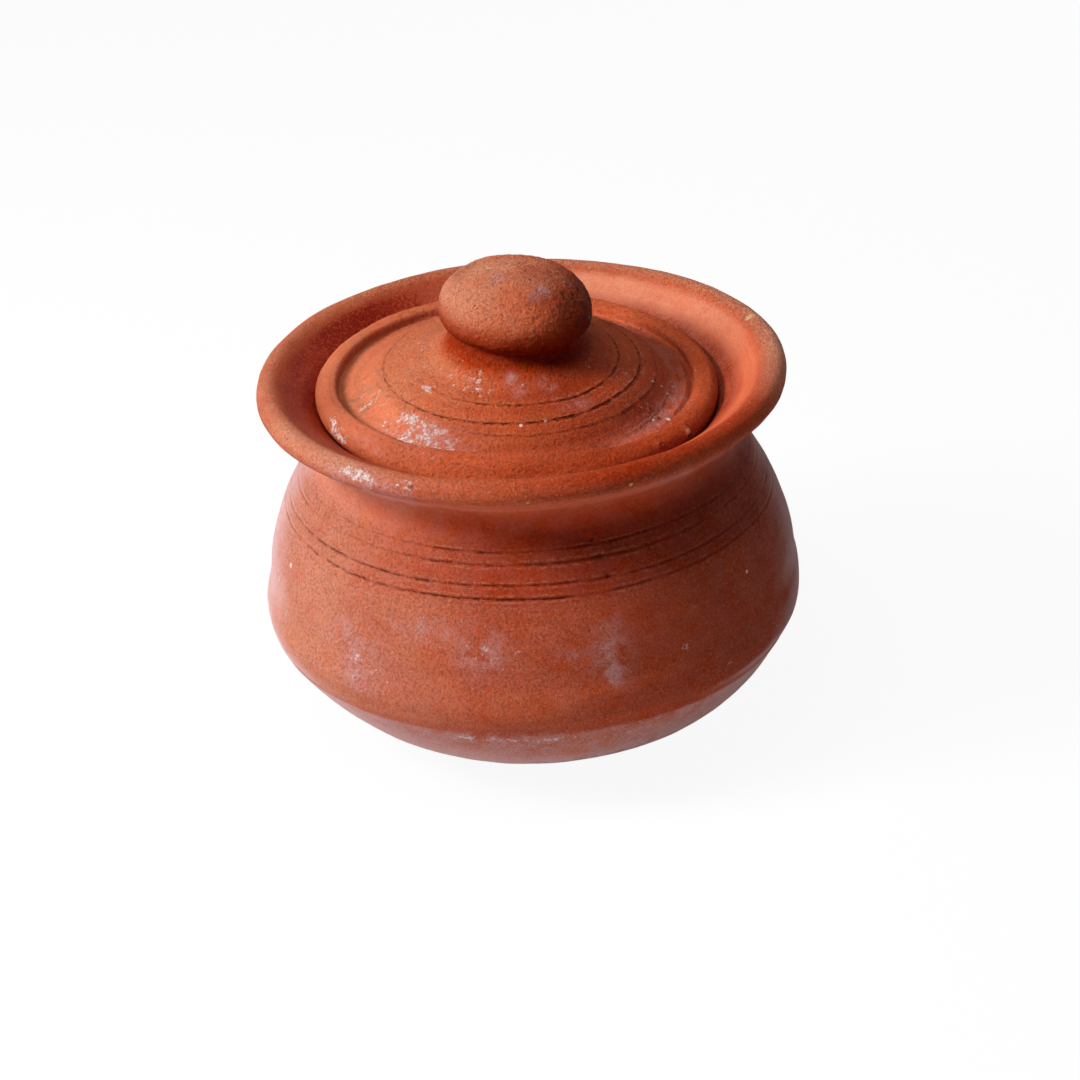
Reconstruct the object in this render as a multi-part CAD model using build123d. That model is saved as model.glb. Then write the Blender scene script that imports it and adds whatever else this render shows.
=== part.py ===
from build123d import *
import os
from math import cos, radians, sin, tan

# All lengths are in millimetres. The origin is the middle of the flat spot the pot stands on.

# Outside of the pot
belly_diameter = 190.0
belly_height = 46.5
rim_diameter = 183.0
rim_height = 130.5
lip_thickness = 9.0
lip_underside_slope = 45.0
lip_inside_slope = 33.0
neck_diameter = 146.0
neck_height = 106.0
foot_line_diameter = 183.0
foot_line_height = 36.6
resting_flat_diameter = 57.0

# Inside of the pot
wall_thickness = 7.0
floor_thickness = 9.0
throat_diameter = 128.0
throat_height = 109.0
seat_diameter = 137.0
seat_height = 116.6
seat_slope = 50.0
seat_band_height = 8.0

# Lid
seat_clearance = 0.3
lid_edge_thickness = 9.5
channel_diameter = 122.4
channel_floor_height = 1.0
stem_diameter = 42.8
stem_waist_height = 22.0
hollow_diameter = 114.0
hollow_height = 8.0
lid_lean = 2.8
lid_raised_side = 128.0

# Knob
knob_diameter = 53.0
knob_middle_height = 30.8
knob_crown_height = 15.5
knob_underside_depth = 9.5
stem_height_in_knob = 30.0
knob_tilt = 3.3

# Depth of each throwing groove: on the pot from the neck down, on the lid from the stem outwards
pot_groove_depths = [0.5, 0.6, 0.9, 0.9]
lid_groove_depths = [0.8, 0.8, 0.6, 0.5]

# Shoulder of the pot, from the neck to the belly: shares of the way out and of the way down
shoulder_groove_shares = [(0.136, 0.124), (0.286, 0.188), (0.445, 0.284), (0.532, 0.361)]
lower_shoulder_shares = [(0.698, 0.520), (0.827, 0.680), (0.891, 0.840)]

# Top of the lid, from the stem to the channel: shares of the way out and of the way down
upper_lid_shares = [(0.065, 0.170), (0.178, 0.320)]
lid_groove_shares = [(0.356, 0.448), (0.562, 0.567), (0.655, 0.660), (0.795, 0.885)]

# Hollow under the lid: share of its radius that is flat
hollow_flat_share = 0.5

# Bowl under the foot line: how fast it flattens out towards the resting flat
bowl_power = 2.5

# Outline of the knob: a power of 2 gives an ellipse, and a higher one a squarer curve
crown_power = 2.15
underside_power = 2.8

# Straight spans that each round stretch of an outline is drawn with
lip_spans = 5
flare_spans = 3
bowl_spans = 6
lid_edge_spans = 6
crown_spans = 6
knob_underside_spans = 4

belly_radius = belly_diameter / 2
rim_radius = rim_diameter / 2
neck_radius = neck_diameter / 2
foot_line_radius = foot_line_diameter / 2
resting_radius = resting_flat_diameter / 2
throat_radius = throat_diameter / 2
seat_radius = seat_diameter / 2
lip_radius = lip_thickness / 2
lid_edge_radius = lid_edge_thickness / 2
channel_radius = channel_diameter / 2
stem_radius = stem_diameter / 2
hollow_radius = hollow_diameter / 2
knob_radius = knob_diameter / 2

# The lid's round edge lies on the cone of the seat, so its size and its height follow the seat.
edge_offset = lid_edge_radius + seat_clearance
edge_ring_radius = seat_radius - edge_offset * sin(radians(seat_slope))
lid_height = seat_height + edge_offset * cos(radians(seat_slope))

# A round lid that lies to one side of a conical seat leans, and is higher on that side.
lid_shift = edge_ring_radius * tan(radians(lid_lean)) / tan(radians(seat_slope))


def heading(angle):
    """Unit vector at an angle in degrees."""
    return Vector(cos(radians(angle)), sin(radians(angle)))


def on_the_way(start, end, shares):
    """Points between start and end, from shares of the way out and of the way down."""
    out = end.X - start.X
    down = start.Y - end.Y
    return [Vector(start.X + out * a, start.Y - down * b) for a, b in shares]


def into_the_clay(before, after):
    """Unit vector from the air into the clay, square to an outline that runs outwards and down."""
    along = (after - before).normalized()
    return Vector(along.Y, -along.X)


def in_spans(curve, spans):
    """Points that draw a round stretch with straight spans, so that it turns into plain cones."""
    return [curve @ (step / spans) for step in range(spans + 1)]


def grooved(before, grooves, after, depths):
    """Outline through grooves, each at its depth in the clay, with a crest halfway between two."""
    line = [before, *grooves, after]
    outline = []
    for back, point, onwards, depth in zip(line, grooves, line[2:], depths):
        outline += [(back + point) / 2, point + into_the_clay(back, onwards) * depth]
    return outline[1:]


def turned(outline):
    """Solid of revolution, from the points of a half section given as radius and height."""
    return revolve(Plane.XZ * make_face(Polyline(*outline, close=True)), Axis.Z)


def neck_point():
    """Narrowest point of the pot's outside, above the belly."""
    return Vector(neck_radius, neck_height)


def belly_point():
    """Widest point of the pot's outside."""
    return Vector(belly_radius, belly_height)


def groove_points():
    """Places of the grooves on the shoulder, before they are cut."""
    return on_the_way(neck_point(), belly_point(), shoulder_groove_shares)


def lower_shoulder_points():
    """Plain part of the shoulder, between the lowest groove and the belly."""
    return on_the_way(neck_point(), belly_point(), lower_shoulder_shares)


def bowl_points():
    """Outside of the bowl, from the foot line to the edge of the resting flat."""
    inwards = foot_line_radius - resting_radius
    points = []
    for step in range(bowl_spans + 1):
        share = step / bowl_spans
        points.append(Vector(foot_line_radius - inwards * share, foot_line_height * (1 - share) ** bowl_power))
    return points


def lip_points():
    """Round lip of the mouth, from its inside over its crest to its underside."""
    middle = Vector(rim_radius - lip_radius, rim_height - lip_radius)
    start = 90 + lip_inside_slope
    turn = 180 + lip_inside_slope - lip_underside_slope
    return in_spans(CenterArc(middle, lip_radius, start, -turn), lip_spans)


def outside_points():
    """Outside of the pot, from the lip down to the edge of the resting flat."""
    lip = lip_points()
    flare = Spline(lip[-1], neck_point(), tangents=[-heading(lip_underside_slope), (0, -1)])
    lower_shoulder = lower_shoulder_points()
    shoulder = grooved(neck_point(), groove_points(), lower_shoulder[0], pot_groove_depths)
    return [
        *lip,
        *in_spans(flare, flare_spans)[1:],
        *shoulder,
        *lower_shoulder,
        belly_point(),
        *bowl_points(),
    ]


def inside_points():
    """Inside of the pot, from the edge of its floor up past the throat to the top of the seat."""
    outside = [
        neck_point(),
        groove_points()[-1],
        lower_shoulder_points()[1],
        belly_point(),
        *bowl_points()[1::2],
    ]
    cavity = [
        point + into_the_clay(before, after) * wall_thickness
        for before, point, after in zip(outside, outside[1:], outside[2:])
    ]
    half_band = heading(seat_slope) * (seat_band_height / sin(radians(seat_slope)) / 2)
    seat_middle = Vector(seat_radius, seat_height)
    return [
        Vector(resting_radius, floor_thickness),
        *[point for point in reversed(cavity) if point.Y > floor_thickness],
        Vector(throat_radius, throat_height),
        seat_middle - half_band,
        seat_middle + half_band,
    ]


def make_pot():
    """Thrown pot: a rounded bowl, a grooved shoulder and a flared mouth that seats the lid."""
    return turned([*outside_points(), (0, 0), (0, floor_thickness), *inside_points()])


def dome_points():
    """Top of the lid, from the stem's waist over the ringed dome down to the channel."""
    waist = Vector(stem_radius, stem_waist_height)
    channel = Vector(channel_radius, channel_floor_height)
    upper = on_the_way(waist, channel, upper_lid_shares)
    rings = on_the_way(waist, channel, lid_groove_shares)
    return [waist, *upper, *grooved(upper[-1], rings, channel, lid_groove_depths), channel]


def make_lid():
    """Thrown lid: a round edge, a channel inside it, and a ringed dome that rises into a stem."""
    edge = CenterArc((edge_ring_radius, 0), lid_edge_radius, 135, -225)
    return turned([
        (0, stem_height_in_knob),
        (stem_radius, stem_height_in_knob),
        *dome_points(),
        *in_spans(edge, lid_edge_spans),
        (hollow_radius, -lid_edge_radius),
        (hollow_radius * hollow_flat_share, hollow_height),
        (0, hollow_height),
    ])


def knob_curve(height, power, spans):
    """Outline of the knob from its widest line to its middle, for a height up or down."""
    points = []
    for step in range(spans + 1):
        angle = radians(90 * step / spans)
        points.append(Vector(knob_radius * cos(angle) ** (2 / power), height * sin(angle) ** (2 / power)))
    return points


def make_knob(lid):
    """Flattened ball of clay, pressed over the lid's stem and a little out of level."""
    underside = knob_curve(-knob_underside_depth, underside_power, knob_underside_spans)
    crown = knob_curve(knob_crown_height, crown_power, crown_spans)
    ball = turned([*reversed(underside), *crown[1:]])
    return Pos(0, 0, knob_middle_height) * Rot(0, knob_tilt, 0) * ball - lid


def on_the_seat(piece):
    """Piece of the lid, moved from the lid's own middle to where it lies, leaning, on the seat."""
    side = heading(lid_raised_side)
    lean_axis = Axis((0, 0, 0), side.cross(Vector(0, 0, 1)))
    return Pos(side.X * lid_shift, side.Y * lid_shift, lid_height) * piece.rotate(lean_axis, lid_lean)


upright_lid = make_lid()
upright_knob = make_knob(upright_lid)

nodes = {
    "pot": make_pot(),
    "lid": on_the_seat(upright_lid),
    "lid_knob": on_the_seat(upright_knob),
}

os.makedirs("parts", exist_ok=True)
for name, solid in nodes.items():
    export_step(solid, f"parts/{name}.step")
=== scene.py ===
"""Dresses the lidded terracotta pot: its clay, its finishes, the floor, the light and the camera."""

import logging
import math
from collections.abc import Callable, Iterable
from dataclasses import dataclass, field
from enum import Enum
from functools import lru_cache
from itertools import accumulate, pairwise
from typing import Any

import bmesh
import bpy
from mathutils import Matrix, Vector, noise
from mathutils.geometry import interpolate_bezier


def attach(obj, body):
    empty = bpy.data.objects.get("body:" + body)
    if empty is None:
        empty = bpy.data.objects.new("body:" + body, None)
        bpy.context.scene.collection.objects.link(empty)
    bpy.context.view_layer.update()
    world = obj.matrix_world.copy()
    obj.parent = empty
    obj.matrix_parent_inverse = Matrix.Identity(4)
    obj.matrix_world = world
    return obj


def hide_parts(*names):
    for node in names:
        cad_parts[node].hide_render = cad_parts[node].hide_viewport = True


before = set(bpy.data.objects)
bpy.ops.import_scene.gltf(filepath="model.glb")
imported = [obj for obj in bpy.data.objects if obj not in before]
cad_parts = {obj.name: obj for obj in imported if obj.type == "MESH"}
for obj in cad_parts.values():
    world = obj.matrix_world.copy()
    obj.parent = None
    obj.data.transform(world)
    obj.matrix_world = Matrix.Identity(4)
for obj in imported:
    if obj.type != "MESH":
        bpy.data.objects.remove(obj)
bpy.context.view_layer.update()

logging.basicConfig(level=logging.INFO, format="%(message)s")
log = logging.getLogger("pot")

Colour = tuple[float, float, float, float]
Pair = tuple[float, float] | Vector
Skin = bmesh.types.BMesh
Socket = bpy.types.NodeSocket

MM = 0.001
UP = Vector((0, 0, 1))
WHITE = (1, 1, 1, 1)

# Lengths in millimetres: steps and rows of an outline, and how far from a groove it is still felt
OUTLINE_STEP = 0.2
SAME_PLACE = 0.01
SAME_VERTEX = 0.002
SHORTEST_ROW = 0.05
GROOVE_REACH = 7.0
NO_GROOVE = 9.0

# How many of its reaches away a mark or a spot has faded out
MARK_REACHES = 2.5
SPOT_REACHES = 3.0

# How often one spun sector is doubled to close the turn
DOUBLINGS = 4


class Body(Enum):
    """The two bodies of the pot that move against each other."""

    POT = "pot"
    LID = "lid"


class Layer(Enum):
    """Values kept on each vertex for the finishes to read."""

    CRACK = "crack"
    CRACK_STRENGTH = "crack_strength"
    SALT = "salt"
    DUST = "dust"
    SOOT = "soot"
    # Painted light: a pale coat where light falls strongly, on the sides, lip and tops that face the window
    # lamp, and on the bowl.
    PAINTED_LIGHT = "pale"
    # Painted shade: a dark red laid in the neck, the mouth, the lid's seat, under the knob and on the sides
    # away from the window lamp.
    PAINTED_SHADE = "deep"
    # Painted red shade: a saturated red laid where shade falls, under the knob and the lip and on the far side.
    PAINTED_RED_SHADE = "red_shade"
    # Painted sheen: a pale tint on the body's edges where they turn away from the view.
    PAINTED_SHEEN = "edge_sheen"
    SMOOTH = "smooth"


class SpotKind(Enum):
    """Kinds of small spot on the clay, each with the height of its middle for a reach of 1."""

    PIT = -0.8
    CHIP = -0.45
    GRAIN = 0.3


def clay(red: int, green: int, blue: int) -> Colour:
    """Gives a colour written as it looks on a screen in the linear values that nodes take.

    Args:
        red: red, from 0 to 255.
        green: green, from 0 to 255.
        blue: blue, from 0 to 255.

    Returns:
        The linear colour, opaque.
    """
    shares = [value / 255 for value in (red, green, blue)]
    return (*(share / 12.92 if share <= 0.04045 else ((share + 0.055) / 1.055) ** 2.4 for share in shares), 1.0)


def smooth_step(low: float, high: float, value: float) -> float:
    """Goes smoothly from 0 at low to 1 at high."""
    share = min(1.0, max(0.0, (value - low) / (high - low)))
    return share * share * (3 - 2 * share)


def band(value: float, start: float, full: float, fading: float, end: float) -> float:
    """Goes smoothly from 0 at start to 1 at full, and from 1 at fading back to 0 at end."""
    return smooth_step(start, full, value) * (1 - smooth_step(fading, end, value))


def bump_shape(distance: float, reach: float) -> float:
    """Round hump of height 1 that has faded out at about twice its reach."""
    return math.exp(-(distance / reach) ** 2)


def turn_between(bearing: float, middle: float) -> float:
    """Difference of two bearings in degrees, from -180 to 180."""
    return (bearing - middle + 180) % 360 - 180


def bearing_of(place: Vector) -> float:
    """Bearing of a place in degrees, as seen from above."""
    return math.degrees(math.atan2(place.y, place.x))


def heading(bearing: float) -> Vector:
    """Level unit vector towards a bearing in degrees."""
    return Vector((math.cos(math.radians(bearing)), math.sin(math.radians(bearing)), 0))


def on_circle(middle: Pair, radius: float, angle: float) -> Vector:
    """Point of a half section on a circle, at an angle in degrees."""
    return Vector(middle) + heading(angle).to_2d() * radius


def add_object(name: str, data: bpy.types.ID) -> bpy.types.Object:
    """Puts a new object into the scene.

    Args:
        name: its name.
        data: its mesh, lamp or camera.

    Returns:
        The object.
    """
    made = bpy.data.objects.new(name, data)
    bpy.context.scene.collection.objects.link(made)
    return made


@lru_cache(maxsize=None)
def round_noise(bearing: float, waves: float, seed: float) -> float:
    """Smooth random value from about -1 to 1 that closes on itself round the axis.

    Args:
        bearing: bearing in degrees.
        waves: roughly how many waves go round.
        seed: which random line is read.

    Returns:
        The value at the bearing.
    """
    angle, reach = math.radians(bearing), waves / 4
    return noise.noise(Vector((math.cos(angle) * reach, math.sin(angle) * reach, seed * 7.3))) * 1.6


@dataclass(frozen=True)
class RoundTable:
    """Value that changes smoothly round the axis, given at bearings that rise from 0."""

    stops: tuple[Pair, ...]

    @lru_cache(maxsize=None)
    def at(self, bearing: float) -> float:
        """Reads the value at a bearing.

        Args:
            bearing: bearing in degrees.

        Returns:
            The value there.
        """
        turned = bearing % 360
        runs = pairwise((*self.stops, (360, self.stops[0][1])))
        (low, start), (high, end) = next(run for run in runs if turned <= run[1][0])
        return start + (end - start) * smooth_step(low, high, turned)


def around(*numbers: float) -> RoundTable:
    """Makes a round table from bearings and their values in turn."""
    return RoundTable(tuple(zip(numbers[::2], numbers[1::2])))


@dataclass(frozen=True)
class Mark:
    """Patch on the clay, placed by its bearing and by its radius and height, in millimetres."""

    layer: Layer
    bearing: float
    place: Pair
    reach: float
    strength: float
    stretch: float


@dataclass(frozen=True)
class Spot:
    """Small pit, chip or grain, placed in the same way."""

    kind: SpotKind
    bearing: float
    place: Pair
    reach: float


def patches(layer: Layer, *rows: tuple[float, ...]) -> list[Mark]:
    """Marks of one layer, from rows of bearing, radius, height, reach, strength and stretch."""
    return [Mark(layer, bearing, (out, up), *rest) for bearing, out, up, *rest in rows]


def dots(kind: SpotKind, *rows: tuple[float, ...]) -> list[Spot]:
    """Spots of one kind, from rows of bearing, radius, height and reach."""
    return [Spot(kind, bearing, (out, up), reach) for bearing, out, up, reach in rows]


@dataclass(frozen=True)
class Groove:
    """Groove left by the potter's tool, which wanders and breaks up round the turn."""

    place: Pair
    depth: float
    half_width: float
    wander: float
    clear: RoundTable
    seed: float
    off_centre: float = 0.0
    off_side: float = 0.0

    @lru_cache(maxsize=None)
    def strength(self, bearing: float) -> float:
        """Works out how much of its full depth the groove has.

        Args:
            bearing: bearing in degrees.

        Returns:
            The share of the depth.
        """
        breaks = smooth_step(-0.75, 0.1, round_noise(bearing, 60, self.seed))
        long_breaks = smooth_step(-0.9, -0.2, round_noise(bearing, 9, self.seed + 20))
        return self.clear.at(bearing) * (0.35 + 0.65 * breaks) * (0.3 + 0.7 * long_breaks)

    @lru_cache(maxsize=None)
    def drift(self, bearing: float) -> float:
        """Works out how far the groove has slid along the outline.

        Args:
            bearing: bearing in degrees.

        Returns:
            The distance in millimetres.
        """
        slow = round_noise(bearing, 7, self.seed + 40)
        quick = round_noise(bearing, 50, self.seed + 60)
        off = self.off_centre * math.cos(math.radians(bearing - self.off_side))
        return off + self.wander * (slow + 0.35 * quick)


@dataclass
class Outline:
    """Half section of a turned piece, in millimetres from the axis and from the bottom."""

    points: list[Vector] = field(default_factory=list)

    def line(self, *ends: Pair) -> "Outline":
        """Starts at the first end, or goes on to it, and goes on in straight runs.

        Args:
            ends: ends of the runs.

        Returns:
            The outline itself.
        """
        for end in ends:
            target = Vector(end)
            start = self.points[-1] if self.points else target
            steps = max(1, round((target - start).length / OUTLINE_STEP))
            self.points += [start.lerp(target, step / steps) for step in range(1, steps + 1)]
        return self

    def arc(self, middle: Pair, radius: float, start: float, end: float) -> "Outline":
        """Goes on round an arc.

        Args:
            middle: middle of the arc.
            radius: radius of the arc.
            start: angle of its start, in degrees.
            end: angle of its end, in degrees.

        Returns:
            The outline itself.
        """
        steps = max(2, round(abs(math.radians(end - start)) * radius / OUTLINE_STEP))
        return self._add(
            on_circle(middle, radius, start + (end - start) * step / steps) for step in range(steps + 1))

    def sweep(self, end: Pair, leave: Pair, arrive: Pair) -> "Outline":
        """Goes on in one soft curve to an end.

        Args:
            end: where the curve ends.
            leave: the way and the distance that the curve leaves its start by.
            arrive: the way and the distance that it comes into its end by.

        Returns:
            The outline itself.
        """
        start, target = self.points[-1], Vector(end)
        steps = max(4, round((target - start).length / OUTLINE_STEP))
        curve = interpolate_bezier(start, start + Vector(leave), target - Vector(arrive), target, steps + 1)
        return self._add(Vector(point[:2]) for point in curve[1:])

    def formula(self, steps: int, place: Callable[[float], Pair]) -> "Outline":
        """Goes on along a formula that gives a place for each share from 0 to 1."""
        return self._add(Vector(place(step / steps)) for step in range(steps + 1))

    def through(self, *places: Pair) -> "Outline":
        """Goes on in a smooth curve through places.

        Args:
            places: the places in turn.

        Returns:
            The outline itself.
        """
        stops = [self.points[-1], *map(Vector, places)]
        inner = [onwards - back for back, onwards in zip(stops, stops[2:])]
        ways = [stops[0] - self.points[-2], *inner, stops[-1] - stops[-2]]
        for (start, end), (leave, arrive) in zip(pairwise(stops), pairwise(ways)):
            length = (end - start).length
            self.sweep(end, leave.normalized() * length / 3, arrive.normalized() * length / 3)
        return self

    def _add(self, points: Iterable[Vector]) -> "Outline":
        """Adds points, but none where the outline already ends.

        Args:
            points: the points in turn.

        Returns:
            The outline itself.
        """
        for point in points:
            if (point - self.points[-1]).length > SAME_PLACE:
                self.points.append(point)
        return self

    def lengths(self) -> list[float]:
        """Distance along the outline at each of its points."""
        return list(accumulate(((end - start).length for start, end in pairwise(self.points)), initial=0.0))

    def place_of(self, point: Pair, low: float = 0.0) -> float:
        """Distance along the outline of its point nearest to a given one, past a low end."""
        choices = (pair for pair in zip(self.lengths(), self.points) if pair[0] >= low)
        return min(choices, key=lambda pair: (pair[1] - Vector(point)).length)[0]

    def point_at(self, along: float) -> Vector:
        """Point of the outline nearest to a distance along it."""
        return min(zip(self.lengths(), self.points), key=lambda pair: abs(pair[0] - along))[1]

    def rows(self, spacing: Callable[[float], float]) -> list[tuple[float, Vector]]:
        """Chooses the rows of the mesh along the outline.

        Args:
            spacing: gives how far apart rows are wanted at a distance along the outline.

        Returns:
            For each row its distance along the outline and its point.
        """
        places = list(zip(self.lengths(), self.points))
        chosen = [places[0]]
        due = 0.0
        for (before, _), (along, point) in pairwise(places):
            due += (along - before) / spacing(along)
            if due >= 1:
                chosen.append((along, point))
                due -= 1
        if places[-1][0] - chosen[-1][0] <= SHORTEST_ROW:
            chosen.pop()
        return [*chosen, places[-1]]


@dataclass
class Touch:
    """One vertex under the hand: where it is, where it goes and what its layers hold."""

    along: float
    point: Vector
    bearing: float
    place: Vector
    out: float = 0.0
    slide: float = 0.0
    push: Vector = field(default_factory=Vector)
    layers: dict[Layer, float] = field(default_factory=dict)

    def lay(self, layer: Layer, *values: float) -> None:
        """Covers the vertex at least as strongly as each of the values says."""
        self.layers[layer] = max(self.layers.get(layer, 0.0), *values)


@dataclass
class TurnedPiece:
    """Piece thrown on the wheel: an outline spun round the axis, then worked by hand."""

    name: str
    outline: Outline
    turns: int
    spacing: Callable[[float], float]
    marks: Iterable[Mark]
    spots: Iterable[Spot]
    grooves: Iterable[Groove] = ()

    def __post_init__(self) -> None:
        """Sets out the rows of the mesh and the way that the outline runs at each."""
        self.rows = self.outline.rows(self.spacing)
        self.groove_places, self.mark_places, self.spot_places = (
            [(item, self.outline.place_of(item.place)) for item in items]
            for items in (self.grooves, self.marks, self.spots))
        for _, along in self.groove_places:
            self.rows[self.row_at(along)] = (along, self.outline.point_at(along))
        ends = [point for _, point in (self.rows[0], *self.rows, self.rows[-1])]
        self.tangents = [(onwards - back).normalized() for back, onwards in zip(ends, ends[2:])]

    def row_at(self, along: float) -> int:
        """Number of the row nearest to a distance along the outline."""
        return min(range(len(self.rows)), key=lambda index: abs(self.rows[index][0] - along))

    def spin(self) -> Skin:
        """Spins the outline through one sector, and doubles that until it closes into a skin.

        Returns:
            The mesh, in metres, with its poles closed, its faces outwards and the row of each vertex known.
        """
        skin = bmesh.new()
        row_layer = skin.verts.layers.int.new("row")
        for layer in Layer:
            skin.verts.layers.float.new(layer.value)
        for index, (_, point) in enumerate(self.rows):
            skin.verts.new((point.x * MM, 0, point.y * MM))[row_layer] = index
        for ends in pairwise(skin.verts[:]):
            skin.edges.new(ends)
        sectors = 2 ** DOUBLINGS
        bmesh.ops.spin(
            skin, geom=skin.verts[:] + skin.edges[:], cent=(0, 0, 0), axis=UP, angle=math.tau / sectors,
            steps=self.turns // sectors, use_merge=False, use_duplicate=False,
        )
        for doubling in range(DOUBLINGS):
            whole = skin.verts[:] + skin.edges[:] + skin.faces[:]
            copied = bmesh.ops.duplicate(skin, geom=whole)["geom"]
            turned = [part for part in copied if isinstance(part, bmesh.types.BMVert)]
            turn = Matrix.Rotation(math.tau / sectors * 2 ** doubling, 3, "Z")
            bmesh.ops.rotate(skin, cent=(0, 0, 0), matrix=turn, verts=turned)
        bmesh.ops.remove_doubles(skin, verts=skin.verts, dist=SAME_VERTEX * MM)
        bmesh.ops.recalc_face_normals(skin, faces=skin.faces)
        return skin

    def thrown(self, touch: Callable[[Touch], None]) -> Skin:
        """Spins the piece, and goes over every vertex by hand.

        Args:
            touch: says how far the vertex goes out and along, and what its layers hold.

        Returns:
            The worked mesh.
        """
        skin = self.spin()
        row_layer = skin.verts.layers.int["row"]
        layers = {layer: skin.verts.layers.float[layer.value] for layer in Layer}
        for vertex in skin.verts:
            along, point = self.rows[vertex[row_layer]]
            tangent = self.tangents[vertex[row_layer]]
            here = Touch(along, point, round(bearing_of(vertex.co), 2), vertex.co / MM)
            self._cut_grooves(here)
            self._lay_marks(here)
            touch(here)
            away = heading(here.bearing)
            facing = away * tangent.y - UP * tangent.x
            onwards = away * tangent.x + UP * tangent.y
            vertex.co += (facing * here.out + onwards * here.slide + here.push) * MM
            for layer, value in here.layers.items():
                vertex[layers[layer]] = value
        return skin

    def _cut_grooves(self, here: Touch) -> None:
        """Slides the rows beside each groove after its wandering line, and sinks them.

        Args:
            here: the vertex, changed in place.
        """
        nearest, strength = NO_GROOVE, 0.0
        for groove, place in self.groove_places:
            distance = here.along - place
            if abs(distance) > GROOVE_REACH:
                continue
            share = groove.strength(here.bearing)
            here.slide += groove.drift(here.bearing) * bump_shape(distance, 3.0)
            here.out -= groove.depth * share * bump_shape(distance, groove.half_width)
            raised = bump_shape(abs(distance) - 2.2 * groove.half_width, groove.half_width)
            here.out += 0.3 * groove.depth * share * raised
            if abs(distance) < nearest:
                nearest, strength = abs(distance), share
        here.layers[Layer.CRACK] = nearest * MM
        here.layers[Layer.CRACK_STRENGTH] = strength

    def _lay_marks(self, here: Touch) -> None:
        """Works out how strongly each mark covers the vertex, and sinks or lifts the spots.

        Args:
            here: the vertex, changed in place.
        """
        around_axis = max(here.point.x, 1.0)
        ragged = 1 + 0.9 * noise.noise(here.place / 4.5) + 0.5 * noise.noise(here.place / 1.9)
        for mark, place in self.mark_places:
            up_down = (here.along - place) / mark.reach
            if abs(up_down) <= MARK_REACHES:
                sideways = math.radians(turn_between(here.bearing, mark.bearing)) * around_axis
                sideways /= mark.reach * mark.stretch
                here.lay(mark.layer, mark.strength * ragged * math.exp(-(up_down ** 2 + sideways ** 2)))
        for spot, place in self.spot_places:
            up_down = here.along - place
            if abs(up_down) <= SPOT_REACHES * spot.reach:
                sideways = math.radians(turn_between(here.bearing, spot.bearing)) * around_axis
                fall = bump_shape(math.hypot(up_down, sideways), 0.9 * spot.reach)
                here.out += spot.kind.value * spot.reach * fall

    def spot_centres(self, skin: Skin) -> list[tuple[Spot, Vector]]:
        """Finds where the spots have ended up.

        Args:
            skin: the worked mesh.

        Returns:
            Each spot with its middle, in metres.
        """
        row_layer = skin.verts.layers.int["row"]
        wanted = {}
        for spot, place in self.spot_places:
            wanted.setdefault(self.row_at(place), []).append(spot)
        best = {}
        for vertex in skin.verts:
            for spot in wanted.get(vertex[row_layer], ()):
                away = abs(turn_between(bearing_of(vertex.co), spot.bearing))
                if spot not in best or away < best[spot][0]:
                    best[spot] = (away, vertex.co.copy())
        return [(spot, centre) for spot, (_, centre) in best.items()]

    def fired(self, skin: Skin, body: Body, node: str, finish: bpy.types.Material) -> bpy.types.Object:
        """Turns the worked clay into a piece of the model.

        Args:
            skin: the worked mesh, used up here.
            body: the body that the piece rides on.
            node: the solid that it stands for.
            finish: its finish.

        Returns:
            The piece, smooth shaded, riding on its body.
        """
        mesh = bpy.data.meshes.new(self.name)
        skin.to_mesh(mesh)
        skin.free()
        mesh.shade_smooth()
        mesh.materials.append(finish)
        piece = add_object(self.name, mesh)
        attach(piece, body.value)
        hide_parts(node)
        triangles = sum(len(face.vertices) - 2 for face in mesh.polygons)
        log.info("%s: %d vertices, %d triangles", self.name, len(mesh.vertices), triangles)
        return piece


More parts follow.
